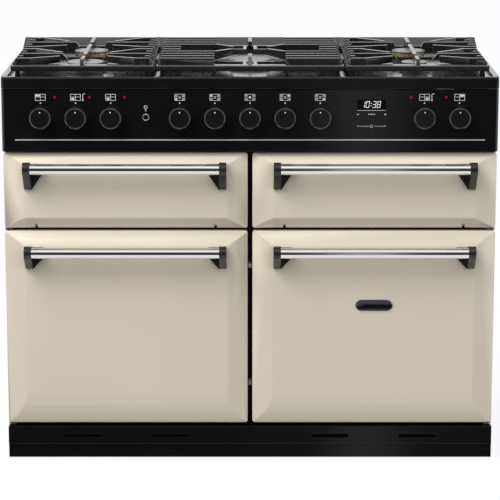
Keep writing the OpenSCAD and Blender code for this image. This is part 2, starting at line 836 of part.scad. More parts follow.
module left_oven_handle_bar() { handle_bar(-1, low_top - low_handle_drop); }
module right_oven_handle_bar() { handle_bar(1, low_top - low_handle_drop); }
module grill_handle_bar() { handle_bar(-1, top_top - top_handle_drop); }
module small_oven_handle_bar() { handle_bar(1, top_top - top_handle_drop); }
module left_oven_handle_brackets() { handle_brackets(-1, low_top - low_handle_drop, low_foot_drop); }
module right_oven_handle_brackets() { handle_brackets(1, low_top - low_handle_drop, low_foot_drop); }
module grill_handle_brackets() { handle_brackets(-1, top_top - top_handle_drop, top_foot_drop); }
module small_oven_handle_brackets() { handle_brackets(1, top_top - top_handle_drop, top_foot_drop); }

// Pivot brackets, hinge arms and catches, all fixed to the front frame
module door_fittings() {
    plate_t = 3;
    plate_w = 18;
    pin_len = 20;
    flange_h = 16;
    pin_x = door_out - oven_pin_in;
    catch_z = [low_z + 88.5, low_z + 361.5];
    pin_z = top_z + flap_pin_z;
    plates = [[low_top + (row_gap - plate_t) / 2, -1], [low_z - (plinth_gap + plate_t) / 2, 1]];
    color([0.25, 0.25, 0.26]) stand() {
        both_sides() {
            // pivots of the oven door, above and below it
            for (p = plates) translate([pin_x, 0, p[0]]) {
                block([-plate_w / 2, oven_pin_d, 0], [plate_w / 2, frame_d, plate_t]);
                translate([0, oven_pin_d, 0]) rod_z(plate_w / 2, 0, plate_t);
                block([-plate_w / 2, frame_d - plate_t, 0], [plate_w / 2, frame_d, flange_h]);
                translate([0, oven_pin_d, 0])
                    rod_z(pin_r, p[1] < 0 ? -pin_len - 1 : 0, p[1] < 0 ? plate_t : pin_len + plate_t + 1);
            }
            // arms of the drop-down door, each with its pin
            for (x = flap_hinges()) translate([x, 0, pin_z]) {
                translate([0, flap_pin_d, 0]) rod_x(arm_r, -arm_t / 2, arm_t / 2);
                block([-arm_t / 2, flap_pin_d, -arm_r], [arm_t / 2, frame_d, 0]);
                block([-12, frame_d - 2, -arm_r], [12, frame_d, 6]);
                translate([0, flap_pin_d, 0])
                    rod_x(pin_r, -arm_slot / 2 - lug_t, arm_slot / 2 + lug_t);
            }
        }
        // catches between the oven doors
        for (z = catch_z) {
            block([-4, frame_d - 12, z - 7], [4, frame_d, z + 7]);
            translate([0, frame_d - 12, z]) rod_x(4, -4, 4);
        }
    }
}

// ---------------------------------------------------------------- hob

// The hob's plan outline, with round front corners
module hob_outline(inset) {
    w = half_w - inset;
    r = max(hob_corner_r - inset, 1);
    translate([-w, inset + r]) square([2 * w, cooker_d - 2 * inset - r]);
    translate([-w + r, inset]) square([2 * (w - r), r + 1]);
    for (s = [-1, 1]) translate([s * (w - r), inset + r]) circle(r = r);
}

module hob_top() {
    skin = 2;
    back = cooker_d;
    crest = lip_z + upstand_h;
    color([0.03, 0.03, 0.03]) stand() difference() {
        union() {
            translate([0, 0, hob_z]) linear_extrude(height = hob_lip_h) hob_outline(0);
            run_x(-half_w, half_w)
                polygon([[back - upstand_d, well_z], [back - upstand_d + 3, lip_z + 3],
                         [back - 4, crest], [back, crest], [back, well_z]]);
            for (b = burners) translate([b[0], b[1], 0]) cylinder_collar(b[2]);
        }
        // the sunken well
        translate([0, 0, well_z]) linear_extrude(height = well_depth + cut) difference() {
            hob_outline(rim_w);
            translate([-half_w, back - upstand_d]) square([cooker_w, upstand_d + cut]);
            for (b = burners) translate([b[0], b[1]]) circle(r = b[2] + 9);
        }
        // the hollow underneath
        translate([0, 0, hob_z - cut]) linear_extrude(height = well_z - skin - hob_z + cut) hob_outline(skin);
        run_x(-half_w + skin, half_w - skin)
            polygon([[back - upstand_d + 6, well_z - skin - cut], [back - upstand_d + 6, lip_z],
                     [back - 6, crest - skin], [back - skin, crest - skin],
                     [back - skin, well_z - skin - cut]]);
        for (b = burners) translate([b[0], b[1], 0]) rod_z(b[2] - cup_in + 1, hob_z, lip_z);
        for (b = burners) translate([b[0], b[1], well_z + 1]) rod_z(b[2] + 9.5, 0, well_depth);
    }
}
module cylinder_collar(cap_r) { rod_z(cap_r + 9, well_z, well_z + 1); }

// The cast cup of a burner, its flange on the hob, and the spark and flame probes beside it
module burner_bases() {
    color([0.6, 0.6, 0.61]) stand() for (b = burners) translate([b[0], b[1], 0]) difference() {
        union() {
            rod_z(b[2] + flange_out, well_z + 1, well_z + 1 + flange_t);
            rod_z(b[2] - cup_in, well_z - cup_depth, well_z + 1);
            rod_z(b[2] - 4, well_z + 1, ring_low(b));
            for (a = [35, 145]) rotate([0, 0, a + 180]) translate([b[2] + 2.5, 0, 0])
                rod_z(1.8, well_z + 1, ring_low(b) + 3);
        }
        rod_z(b[2] - cup_in - 4, well_z - cup_depth + 3, lip_z + cap_top);
    }
}
function ring_low(b) = lip_z + b[3] - cap_t - ring_h(b);
function ring_h(b) = b[3] > wok_top ? 9 : 6;

module burner_rings() {
    color([0.72, 0.55, 0.25]) stand() for (b = burners) translate([b[0], b[1], 0]) difference() {
        translate([0, 0, ring_low(b)]) rotate_extrude()
            polygon([[b[2] - 12, 0], [b[2] - 3, 0], [b[2] - 1, 2], [b[2] - 3.5, ring_h(b)],
                     [b[2] - 12, ring_h(b)]]);
        for (i = [0:flame_ports - 1]) rotate([0, 0, i * 360 / flame_ports])
            translate([b[2] - 8, -port_w / 2, ring_low(b) + ring_h(b) - 3.5]) cube([12, port_w, 5]);
    }
}

module burner_caps() {
    color([0.45, 0.45, 0.46]) stand() for (b = burners) translate([b[0], b[1], lip_z + b[3] - cap_t])
        rotate_extrude() polygon([[0, 0], [b[2] - 1.5, 0], [b[2], 1.2], [b[2], 2], [b[2] - 2.5, cap_t - 0.6],
                                  [b[2] - 9, cap_t], [0, cap_t]]);
}

// ---------------------------------------------------------------- pan supports

// A cast fin between two plan points, each with the height of its underside and its top
module fin(p, q, zp, zq, w) {
    span = q - p;
    translate([p[0], p[1], 0]) rotate([0, 0, atan2(span[1], span[0])])
        translate([0, w / 2, 0]) rotate([90, 0, 0]) linear_extrude(height = w)
            polygon([[0, zp[0]], [norm(span), zq[0]], [norm(span), zq[1]], [0, zp[1]]]);
}

// A cross bar from the outer edge inwards, with a sloping nose at the edge
module cross_bar(edge, inner, d, low_in, slope_in) {
    translate([0, d + bar_w / 2, 0]) rotate([90, 0, 0]) linear_extrude(height = bar_w)
        polygon([[edge, rail_low], [edge, rail_top], [edge - nose, support_z], [inner, support_z],
                 [inner - slope_in, low_in], [edge - frame_w, bar_low], [edge - frame_w, rail_low]]);
}

// The frame round a support: a broad front rail, side rails, a rear rail and the feet
module support_frame(w) {
    foot_in = 14;
    r = 4;
    run_x(-w / 2, w / 2) {
        translate([support_front + r, rail_low]) square([front_rail_w - r, rail_top - rail_low]);
        translate([support_front, rail_low]) square([r + 1, rail_top - rail_low - r]);
        translate([support_front + r, rail_top - r]) circle(r = r);
    }
    for (s = [-1, 1]) {
        block([s * (w / 2 - frame_w / 2) - frame_w / 2, support_front + front_rail_w - 1, rail_low],
              [s * (w / 2 - frame_w / 2) + frame_w / 2, support_rear, rail_top]);
        for (d = [support_front + foot_in, support_rear - foot_in])
            translate([s * (w / 2 - foot_in), d, 0]) rod_z(6, well_z + seat, rail_low + 2);
    }
    block([-w / 2, support_rear - frame_w, cross_low], [w / 2, support_rear, cross_top]);
}

// A fin along the centre line, given by its side view
module spine(points) {
    translate([-bar_w / 2, 0, 0]) rotate([90, 0, 90]) linear_extrude(height = bar_w) polygon(points);
}

module corner_support() {
    edge = corner_w / 2;
    reach = [52, 36];
    mid_d = (burner_front_d + burner_rear_d) / 2;
    kinks = [[0, 96], [4, 170], [5, 301], [9, 384]];
    support_frame(corner_w);
    block([-edge + 1, mid_d - 6, cross_low], [edge - 1, mid_d + 6, cross_top]);
    both_sides() {
        for (i = [1, 3, 6, 8]) cross_bar(edge, edge - stub_len, bar_at(i), bar_low, 3);
        cross_bar(edge, reach[0], bar_at(2), finger_low, 14);
        cross_bar(edge, reach[1], bar_at(7), finger_low, 8);
        for (k = kinks) {
            cross_bar(edge, kink_x, bar_at(k[0]), bar_low, 0);
            translate([kink_x, bar_at(k[0]), 0]) rod_z(knuckle_r, bar_low, support_z);
            fin([kink_x, bar_at(k[0])], [tip_x, k[1]], [bar_low, support_z], [finger_low, support_z],
                bar_w);
            translate([tip_x, k[1], 0]) rod_z(knuckle_r, finger_low, support_z);
        }
    }
    spine([[support_front + 3, rail_low], [support_front + 14, support_z], [104, support_z],
           [104, finger_low + 4], [92, finger_low], [support_front + front_rail_w, rail_low]]);
    spine([[128, finger_low + 4], [128, support_z], [322, support_z], [322, finger_low + 4],
           [300, finger_low], [mid_d + 45, finger_low], [mid_d + 20, cross_low], [mid_d - 20, cross_low],
           [mid_d - 45, finger_low], [150, finger_low]]);
    spine([[352, finger_low + 4], [352, support_z], [support_rear - 10, support_z],
           [support_rear - 2, cross_low], [support_rear - 30, cross_low],
           [support_rear - 50, finger_low], [376, finger_low]]);
}

module left_pan_support() {
    color([0.05, 0.05, 0.05]) stand() translate([-support_x, 0, 0]) corner_support();
}
module right_pan_support() {
    color([0.05, 0.05, 0.05]) stand() translate([support_x, 0, 0]) corner_support();
}

// The centre support, open in the middle for a round-bottomed pan
module centre_pan_support() {
    edge = centre_w / 2;
    gap = wok_gap / 2;
    link_x = 12;
    inner_low = [rail_low, rail_top];
    color([0.05, 0.05, 0.05]) stand() {
        support_frame(centre_w);
        both_sides() {
            for (i = [0, 1, 2, 7, 8, 9]) cross_bar(edge, gap - bar_w / 2, bar_at(i), bar_low, 0);
            for (i = [4, 5]) cross_bar(edge, edge - 48, bar_at(i), bar_low, 3);
            for (k = [[3, wok_d - 24], [6, wok_d + 24]]) {
                cross_bar(edge, gap - 6, bar_at(k[0]), bar_low, 0);
                translate([gap - 6, bar_at(k[0]), 0]) rod_z(knuckle_r, bar_low, support_z);
                fin([gap - 6, bar_at(k[0])], [43, k[1]], [bar_low, support_z], [finger_low, support_z],
                    bar_w);
                translate([43, k[1], 0]) rod_z(knuckle_r, finger_low, support_z);
            }
            // lower rails beside and around the opening
            fin([gap, support_front + front_rail_w - 1], [gap, bar_at(3)], inner_low, inner_low, bar_w);
            fin([gap, bar_at(6)], [gap, support_rear - 2], inner_low, inner_low, bar_w);
            fin([gap, 114], [52, 103], inner_low, inner_low, bar_w);
            translate([52, 103, 0]) rod_z(knuckle_r, rail_low, rail_top);
            fin([52, 103], [link_x, 103], inner_low, inner_low, bar_w);
            translate([link_x, 103, 0]) rod_z(knuckle_r, rail_low, rail_top);
            fin([link_x, support_front + front_rail_w - 1], [link_x, 103], inner_low, inner_low, bar_w);
            fin([gap, 398], [link_x - bar_w / 2, 398], inner_low, inner_low, bar_w);
            fin([link_x, 331 - bar_w / 2], [link_x, 398], inner_low, inner_low, bar_w);
            fin([46, 331], [link_x - bar_w / 2, 331], inner_low, inner_low, bar_w);
        }
        spine([[support_front + 3, rail_low], [78, support_z], [142, support_z], [142, finger_low + 3],
               [110, rail_low + 4], [support_front + front_rail_w, rail_low]]);
        spine([[370, finger_low + 3], [370, support_z], [support_rear - 12, support_z],
               [support_rear - 2, cross_low], [support_rear - 20, cross_low], [402, rail_low + 4],
               [386, rail_low + 4]]);
    }
}

// ---------------------------------------------------------------- control panel

// The panel's plan outline, with round front corners
module panel_outline(inset, back) {
    w = half_w - inset;
    front = panel_d + inset;
    r = max(hob_corner_r - inset, 1);
    translate([-w, front + r]) square([2 * w, back - front - r]);
    translate([-w + r, front]) square([2 * (w - r), r + 1]);
    for (s = [-1, 1]) translate([s * (w - r), front + r]) circle(r = r);
}

module control_panel() {
    skin = 2;
    window = clear;
    color([0.03, 0.03, 0.03]) stand() difference() {
        union() {
            translate([0, 0, panel_z]) linear_extrude(height = panel_h) panel_outline(0, panel_back);
            translate([-light_x, 0, knob_level]) rod_d(button_r + 2.5, panel_d - 1, panel_d + 1);
        }
        translate([0, 0, panel_z + skin]) linear_extrude(height = panel_h - 2 * skin)
            panel_outline(skin, panel_back + cut);
        for (x = concat(oven_knob_x, gas_knob_x)) translate([x, 0, knob_level])
            rod_d(spindle_r + 1.5, panel_d - cut, panel_d + skin + cut);
        translate([-light_x, 0, knob_level]) rod_d(button_r + clear, panel_d - 3 * cut, panel_d + skin + cut);
        for (i = [-1, 0, 1]) translate([clock_x + i * button_step, 0, panel_z + button_z])
            rod_d(button_r + clear, panel_d - cut, panel_d + skin + cut);
        translate([clock_x, 0, panel_z + clock_z]) slab(panel_d - cut, panel_d + skin + cut)
            square([clock_w + 2 * window, clock_h + 2 * window], center = true);
    }
}

module clock_display() {
    skin = 2;
    color([0.02, 0.02, 0.02]) stand() translate([clock_x, 0, panel_z + clock_z]) {
        slab(panel_d + 0.2, panel_d + skin + 14) square([clock_w, clock_h], center = true);
        slab(panel_d + skin, panel_d + skin + 2) square([clock_w + 8, clock_h + 6], center = true);
    }
}

// A push button, held behind the panel by its collar
module push_button(x, z, proud) {
    skin = 2;
    color([0.1, 0.1, 0.1]) stand() translate([x, 0, z]) {
        rod_d(button_r, panel_d - proud, panel_d + skin + 6);
        rod_d(button_r + 1.5, panel_d + skin, panel_d + skin + 1.5);
    }
}
module oven_light_button() { push_button(-light_x, knob_level, 3); }
module clock_minus_button() { push_button(clock_x - button_step, panel_z + button_z, 1.6); }
module clock_mode_button() { push_button(clock_x, panel_z + button_z, 1.6); }
module clock_plus_button() { push_button(clock_x + button_step, panel_z + button_z, 1.6); }

// A turned knob with a flat face, a bevelled rim and a waist, on its spindle
module knob(x) {
    t = knob_t;
    dot_r = 1.8;
    dot_up = 13.5;
    color([0.05, 0.05, 0.05]) stand() translate([x, 0, knob_level]) {
        difference() {
            translate([0, knob_face_d + t, 0]) rotate([90, 0, 0]) rotate_extrude($fn = 72)
                polygon([[0, 0], [knob_r - 4, 0], [knob_r - 3, 1], [knob_r - 2.5, t - 12], [knob_r, t - 8],
                         [knob_r, t - 4], [knob_r - 0.8, t - 2.6], [knob_face_r, t - 0.6], [knob_face_r - 1, t],
                         [0, t]]);
            translate([0, 0, dot_up]) rod_d(dot_r, knob_face_d - cut, knob_face_d + 0.4);
        }
        rod_d(spindle_r, knob_face_d + t - 1, control_d + bore_d - 4);
    }
}
module grill_knob() { knob(oven_knob_x[0]); }
module left_oven_heat_knob() { knob(oven_knob_x[1]); }
module left_oven_mode_knob() { knob(oven_knob_x[2]); }
module right_oven_knob() { knob(oven_knob_x[3]); }
module small_oven_knob() { knob(oven_knob_x[4]); }
module front_left_burner_knob() { knob(gas_knob_x[0]); }
module rear_left_burner_knob() { knob(gas_knob_x[1]); }
module centre_burner_knob() { knob(gas_knob_x[2]); }
module rear_right_burner_knob() { knob(gas_knob_x[3]); }
module front_right_burner_knob() { knob(gas_knob_x[4]); }

// The body behind a knob, bored for its spindle
module control_body(x, round_body) {
    translate([x, 0, knob_level]) difference() {
        if (round_body) union() {
            rod_d(control_w / 2 - 2, control_d + 8, frame_d);
            rod_d(9, control_d, control_d + 9);
        } else union() {
            slab(control_d + 6, frame_d) rounded(control_w, control_w + 8, 3);
            rod_d(8, control_d, control_d + 7);
        }
        rod_d(spindle_r + pin_clear, control_d - cut, control_d + bore_d);
    }
}

module oven_switches() {
    color([0.85, 0.85, 0.82]) stand() for (x = oven_knob_x) control_body(x, false);
}

// The gas taps on their rail, the pipe from the inlet and the pipes to the burners
module gas_pipes() {
    feed_r = 3.5;
    feed_z = [for (level = [0, 1, 2, 1, 0]) knob_level + 20 + 12 * level];
    aside = 14;
    inlet_back = cooker_d + rear_fittings;
    color([0.7, 0.7, 0.66]) stand() {
        for (x = gas_knob_x) {
            control_body(x, true);
            translate([x, 0, knob_level]) rod_d(tap_tail_r, frame_d - 1, rail_d);
        }
        translate([0, rail_d, knob_level]) {
            rod_x(rail_r, gas_knob_x[0] - 20, inlet_x);
            translate([inlet_x, 0, 0]) sphere(r = rail_r);
        }
        translate([inlet_x, 0, knob_level]) rod_d(rail_r, rail_d, cooker_d - 12);
        translate([inlet_x, 0, knob_level]) rod_d(rail_r + 6, cooker_d - 14, cooker_d - 2);
        translate([inlet_x, 0, knob_level]) difference() {
            rod_d(inlet_r, cooker_d - 4, inlet_back);
            rod_d(inlet_r - 3.5, cooker_d, inlet_back + cut);
        }
        for (i = [0:4]) {
            z = feed_z[i];
            b = burners[i];
            x = gas_knob_x[i];
            run = b[1] > wok_d ? b[0] - sign(b[0]) * aside : b[0];
            translate([x, rail_d, 0]) rod_z(feed_r, knob_level, z);
            for (p = [[x, rail_d], [run, rail_d], [run, b[1]], [b[0], b[1]]])
                translate([p[0], p[1], z]) sphere(r = feed_r);
            if (run != x) translate([0, rail_d, z]) rod_x(feed_r, min(x, run), max(x, run));
            if (run != b[0]) translate([0, b[1], z]) rod_x(feed_r, min(b[0], run), max(b[0], run));
            translate([run, 0, z]) rod_d(feed_r, rail_d, b[1]);
            translate([b[0], b[1], 0]) rod_z(feed_r, z, well_z - cup_depth);
        }
    }
}

// ---------------------------------------------------------------- drawing

side_panels();
back_panel();
base_frame();
front_frame();
plinth();
oven_liners();
top_liners();
oven_shelves();
fan_housings();
heating_elements();
grill_pan();
door_seals();
door_fittings();
hob_top();
burner_bases();
burner_rings();
burner_caps();
control_panel();
clock_display();
gas_pipes();
oven_switches();
left_oven_fan();
right_oven_fan();
left_oven_door();
left_oven_door_inner();
left_oven_handle_bar();
left_oven_handle_brackets();
right_oven_door();
right_oven_door_inner();
right_oven_handle_bar();
right_oven_handle_brackets();
grill_door();
grill_door_inner();
grill_handle_bar();
grill_handle_brackets();
small_oven_door();
small_oven_door_inner();
small_oven_handle_bar();
small_oven_handle_brackets();
grill_knob();
left_oven_heat_knob();
left_oven_mode_knob();
front_left_burner_knob();
rear_left_burner_knob();
centre_burner_knob();
rear_right_burner_knob();
front_right_burner_knob();
right_oven_knob();
small_oven_knob();
oven_light_button();
clock_minus_button();
clock_mode_button();
clock_plus_button();
left_pan_support();
centre_pan_support();
right_pan_support();
front_left_foot();
front_right_foot();
rear_left_foot();
rear_right_foot();
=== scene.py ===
import math
import bmesh
import bpy
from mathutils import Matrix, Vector


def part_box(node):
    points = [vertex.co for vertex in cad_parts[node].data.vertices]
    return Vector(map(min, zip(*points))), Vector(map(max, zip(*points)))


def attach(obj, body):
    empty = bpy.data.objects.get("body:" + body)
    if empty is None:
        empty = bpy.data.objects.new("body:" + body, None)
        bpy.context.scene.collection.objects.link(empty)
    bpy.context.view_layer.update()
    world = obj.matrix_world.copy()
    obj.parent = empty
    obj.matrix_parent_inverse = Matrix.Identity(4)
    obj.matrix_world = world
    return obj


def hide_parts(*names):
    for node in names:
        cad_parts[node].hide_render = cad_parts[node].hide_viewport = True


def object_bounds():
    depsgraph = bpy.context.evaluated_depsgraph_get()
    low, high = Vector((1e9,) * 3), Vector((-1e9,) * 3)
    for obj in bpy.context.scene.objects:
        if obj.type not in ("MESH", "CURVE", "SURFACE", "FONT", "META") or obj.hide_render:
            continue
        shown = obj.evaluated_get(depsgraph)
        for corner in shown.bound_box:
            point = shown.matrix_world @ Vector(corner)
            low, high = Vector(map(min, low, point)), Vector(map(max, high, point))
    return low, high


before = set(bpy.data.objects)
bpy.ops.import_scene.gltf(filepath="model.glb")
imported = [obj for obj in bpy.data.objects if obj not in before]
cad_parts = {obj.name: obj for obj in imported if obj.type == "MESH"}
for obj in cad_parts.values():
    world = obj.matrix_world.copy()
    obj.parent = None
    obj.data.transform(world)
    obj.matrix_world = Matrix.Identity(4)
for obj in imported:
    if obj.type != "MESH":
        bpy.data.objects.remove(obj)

cad_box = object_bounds()

# ---------------------------------------------------------------- studio
# The cooker is seen from the front, a little above the hob, through a long lens. The camera's
# distance is measured from the front plane of the doors.
scene = bpy.context.scene
scene.view_settings.view_transform = "Standard"
front_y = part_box("right_oven_door")[0][1]
camera_away = 4.96
camera_height = 1.547
camera_tilt = math.radians(11.3)
camera_data = bpy.data.cameras.new("camera")
camera_data.sensor_width = 36
camera_data.lens = 163.4
camera_data.shift_y = -0.06
camera = bpy.data.objects.new("camera", camera_data)
camera.location = (0, front_y - camera_away, camera_height)
camera.rotation_euler = (math.pi / 2 - camera_tilt, 0, 0)
scene.collection.objects.link(camera)
scene.camera = camera


class Tap:
    """A socket of a node tree. Sums and products of taps add the Math nodes they need."""

    def __init__(self, tree, socket=None):
        self.tree = tree
        self.socket = socket

    def node(self, kind, settings=None, inputs=None, out=0):
        made = self.tree.nodes.new(kind)
        for name, value in (settings or {}).items():
            setattr(made, name, value)
        for name, value in (inputs or {}).items():
            self.feed(made.inputs[name], value)
        return Tap(self.tree, made.outputs[out])

    def feed(self, socket, value):
        if isinstance(value, Tap):
            self.tree.links.new(value.socket, socket)
        elif socket.type == "RGBA":
            socket.default_value = (*value, 1)
        else:
            socket.default_value = value

    def maths(self, operation, a, b):
        return self.node("ShaderNodeMath", {"operation": operation}, {0: a, 1: b})

    def __add__(self, other):
        return self.maths("ADD", self, other)

    def __radd__(self, other):
        return self.maths("ADD", other, self)

    def __sub__(self, other):
        return self.maths("SUBTRACT", self, other)

    def __rsub__(self, other):
        return self.maths("SUBTRACT", other, self)

    def __mul__(self, other):
        return self.maths("MULTIPLY", self, other)

    def __rmul__(self, other):
        return self.maths("MULTIPLY", other, self)

    def step(self, low, high):
        """0 below low, 1 above high and smooth between them."""
        return self.node("ShaderNodeMapRange", {"interpolation_type": "SMOOTHSTEP"},
                         {"Value": self, "From Min": low, "From Max": high})

    def mix(self, from_colour, to_colour):
        """One colour where this tap is 0 and the other where it is 1."""
        return self.node("ShaderNodeMix", {"data_type": "RGBA"},
                         {"Factor": self, 6: from_colour, 7: to_colour}, out=2)


def grey(shade):
    return (shade, shade, shade)


# The world is white to the camera. Gloss surfaces see a grey room with a brighter wall behind the
# cooker and a soft box high in front of it, and in front a dark band with one tall pale card.
# The plain light comes from above and fades towards the floor.
world = bpy.data.worlds.new("studio")
scene.world = world
world.use_nodes = True
world.cycles.sampling_method = "NONE"
room = Tap(world.node_tree)
ways = room.node("ShaderNodeTexCoord")
sideways, ahead, height = (room.node("ShaderNodeSeparateXYZ", None, {0: ways}, out=axis) for axis in range(3))
rear_wall = ahead.step(0.65, 0.9) * height.step(-0.1, 0.1)
soft_box = height.step(0.72, 0.82) * (1 - height.step(0.93, 0.97)) * (1 - ahead.step(-0.35, -0.2))
dark_band = height.step(-0.47, -0.35) * (1 - height.step(0.30, 0.58)) * (1 - ahead.step(-0.75, -0.35))
tall_card = sideways.step(0.030, 0.045) * (1 - sideways.step(0.050, 0.075))
camera_ray = room.node("ShaderNodeLightPath", out=0)
diffuse_ray = room.node("ShaderNodeLightPath", out=2)
room_colour = height.step(0.1, 0.8).mix(grey(0.85), grey(0.45))
room_colour = rear_wall.mix(room_colour, grey(1.1))
room_colour = soft_box.mix(room_colour, grey(1.3))
room_colour = dark_band.mix(room_colour, tall_card.mix(grey(0.02), grey(0.42)))
room_colour = diffuse_ray.mix(room_colour, height.step(-1.0, 1.0).mix(grey(0.10), grey(1.0)))
room_colour = camera_ray.mix(room_colour, grey(1.0))
background = world.node_tree.nodes["Background"]
room.feed(background.inputs["Color"], room_colour)
background.inputs["Strength"].default_value = 1.0

# A large key light stands high on the left and a weaker one fills in from the right. Only the
# narrow light over the back of the hob is mirrored in gloss surfaces.
lit_point = Vector((0, -0.1, 0.5))
for name, place, width, depth, power, mirrored in (
        ("key_light", (-2.12, -1.82, 3.54), 2.6, 2.2, 142, False),
        ("fill_light", (2.8, -3.2, 1.9), 2.0, 1.6, 24, False),
        ("rear_light", (0.0, 1.3, 2.7), 2.8, 0.7, 13, True)):
    light_data = bpy.data.lights.new(name, "AREA")
    light_data.shape = "RECTANGLE"
    light_data.size = width
    light_data.size_y = depth
    light_data.energy = power
    light = bpy.data.objects.new(name, light_data)
    light.location = place
    light.visible_glossy = mirrored
    light.rotation_euler = (lit_point - Vector(place)).to_track_quat("-Z", "Y").to_euler()
    scene.collection.objects.link(light)

# ---------------------------------------------------------------- floor
# The floor is plain and pale. It shows as white, with a light shadow of the cooker, and can be seen
# through from below.
floor_size = 20
floor_white = 0.88


def build(name, bm, smooth=True):
    """Turns a bmesh into an object in the scene."""
    mesh = bpy.data.meshes.new(name)
    bmesh.ops.recalc_face_normals(bm, faces=bm.faces)
    bm.to_mesh(mesh)
    bm.free()
    for face in mesh.polygons:
        face.use_smooth = smooth
    made = bpy.data.objects.new(name, mesh)
    scene.collection.objects.link(made)
    return made


def finish(name, colour, roughness, **sockets):
    """Starts a material: its own sockets hold what is the same all over the surface."""
    material = bpy.data.materials.new(name)
    material.use_nodes = True
    shader = material.node_tree.nodes["Principled BSDF"]
    tap = Tap(material.node_tree)
    sockets.update({"Base Color": colour, "Roughness": roughness})
    for socket, value in sockets.items():
        tap.feed(shader.inputs[socket.replace("_", " ")], value)
    return material, tap, shader


floor_bm = bmesh.new()
bmesh.ops.create_grid(floor_bm, x_segments=1, y_segments=1, size=floor_size)
floor = build("floor", floor_bm)
floor.location.z = cad_box[0][2]
floor.visible_glossy = False
floor.visible_diffuse = False
floor_paint, tap, shader = finish("floor_paint", grey(0.85), 0.9, Specular_IOR_Level=0.0)
painted = Tap(tap.tree, shader.outputs[0])
white = tap.node("ShaderNodeEmission", None, {"Color": grey(1), "Strength": 1.0})
paler = tap.node("ShaderNodeMixShader", None, {0: floor_white, 1: painted, 2: white})
from_below = tap.node("ShaderNodeNewGeometry", out=6)
clear = tap.node("ShaderNodeBsdfTransparent")
shown = tap.node("ShaderNodeMixShader", None, {0: from_below, 1: paler, 2: clear})
tap.feed(floor_paint.node_tree.nodes["Material Output"].inputs["Surface"], shown)
floor.data.materials.append(floor_paint)

# ---------------------------------------------------------------- cream doors
# Each door is a deep pressing in gloss cream enamel. The fired coat has a faint orange peel, is a
# little warmer where it lies thick, and is rounded over every edge of the pressing.
doors = ("left_oven_door", "right_oven_door", "grill_door", "small_oven_door")
door_round = 0.003
door_short_edge = 0.0065    # the shortest edge that is rounded
door_pillow = 0.0175        # how far back the pressing's bevels reach


def noise(tap, scale, detail=2.0, stretch=None):
    """Noise in an object's own space. A stretch gives each axis a scale of its own."""
    place = tap.node("ShaderNodeTexCoord", out=3)
    if stretch:
        place = tap.node("ShaderNodeMapping", None, {"Vector": place, "Scale": stretch})
    return tap.node("ShaderNodeTexNoise", None, {"Vector": place, "Scale": scale, "Detail": detail})


def relief(tap, shader, height, strength, depth, edge=None, samples=6):
    """Bumps a material's surface. With an edge radius, its corners also look rounded."""
    inputs = {"Strength": strength, "Distance": depth, "Height": height}
    if edge:
        inputs["Normal"] = tap.node("ShaderNodeBevel", {"samples": samples}, {"Radius": edge})
    tap.feed(shader.inputs["Normal"], tap.node("ShaderNodeBump", None, inputs))


def dress(material, *nodes):
    """Gives CAD nodes a material."""
    for node in nodes:
        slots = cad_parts[node].data.materials
        slots.clear()
        slots.append(material)


def softened(node, material, body, radius, steps=2, sharp=30, least=0.004,
             behind=math.inf, above=-math.inf, flatten=True):
    """A copy of a CAD node that stands for it, with its long outer edges rounded, in front of the
    depth behind and over the height above. Creases that are not rounded stay crisp."""
    crisp = math.radians(8)
    bm = bmesh.new()
    bm.from_mesh(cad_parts[node].data)
    bmesh.ops.remove_doubles(bm, verts=bm.verts, dist=1e-6)
    if flatten:
        bmesh.ops.dissolve_limit(bm, angle_limit=math.radians(0.5), verts=bm.verts, edges=bm.edges)
    edges = [edge for edge in bm.edges if edge.is_manifold and edge.is_convex
             and edge.calc_length() > least and edge.calc_face_angle() > math.radians(sharp)
             and all(vert.co.y < behind and vert.co.z > above for vert in edge.verts)]
    rounded = set(bmesh.ops.bevel(bm, geom=edges, offset=radius, offset_type="OFFSET", segments=steps,
                                  profile=0.5, affect="EDGES", clamp_overlap=False)["faces"])
    low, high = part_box(node)
    for vert in bm.verts:
        vert.co = [min(max(vert.co[i], low[i]), high[i]) for i in range(3)]
    for edge in bm.edges:
        if edge.is_manifold and rounded.isdisjoint(edge.link_faces):
            edge.smooth = edge.calc_face_angle() < crisp
    made = build(node + "_soft", bm)
    made.data.materials.append(material)
    flats = made.modifiers.new("flats", "WEIGHTED_NORMAL")
    flats.keep_sharp = True
    flats.weight = 100
    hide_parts(node)
    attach(made, body)


cream, tap, shader = finish("cream_enamel", (0.69, 0.63, 0.50), 0.16, Coat_Weight=0.35,
                            Coat_Roughness=0.06, Specular_IOR_Level=0.45)
cloud = noise(tap, 3.0)
speck = noise(tap, 260.0)
tap.feed(shader.inputs["Base Color"], cloud.step(0.3, 0.7).mix((0.68, 0.62, 0.495), (0.70, 0.64, 0.515)))
tap.feed(shader.inputs["Roughness"], 0.14 + speck * 0.05)
relief(tap, shader, speck, 0.03, 0.001)
dress(cream, *doors)
for node in doors:
    softened(node, cream, node + "_body", door_round, steps=3, sharp=10,
             least=door_short_edge, behind=front_y + door_pillow)

# ---------------------------------------------------------------- black enamel
# The control panel, the plinth, the side panels and the pressed front are black enamelled sheet.
# The fired coat is thin and even, and a little dust dulls it in places.
black, tap, shader = finish("black_enamel", (0.006, 0.0055, 0.0055), 0.1, Specular_IOR_Level=0.35,
                            Coat_Weight=0.4, Coat_Roughness=0.06, Coat_IOR=1.6)
speck = noise(tap, 320.0)
dust = noise(tap, 6.0, 5.0).step(0.45, 0.75)
tap.feed(shader.inputs["Base Color"], dust.mix((0.005, 0.0045, 0.0045), (0.007, 0.0065, 0.0065)))
tap.feed(shader.inputs["Roughness"], 0.08 + speck * 0.05)
relief(tap, shader, speck, 0.01, 0.001, edge=0.0015)
dress(black, "control_panel", "side_panels", "plinth", "front_frame")

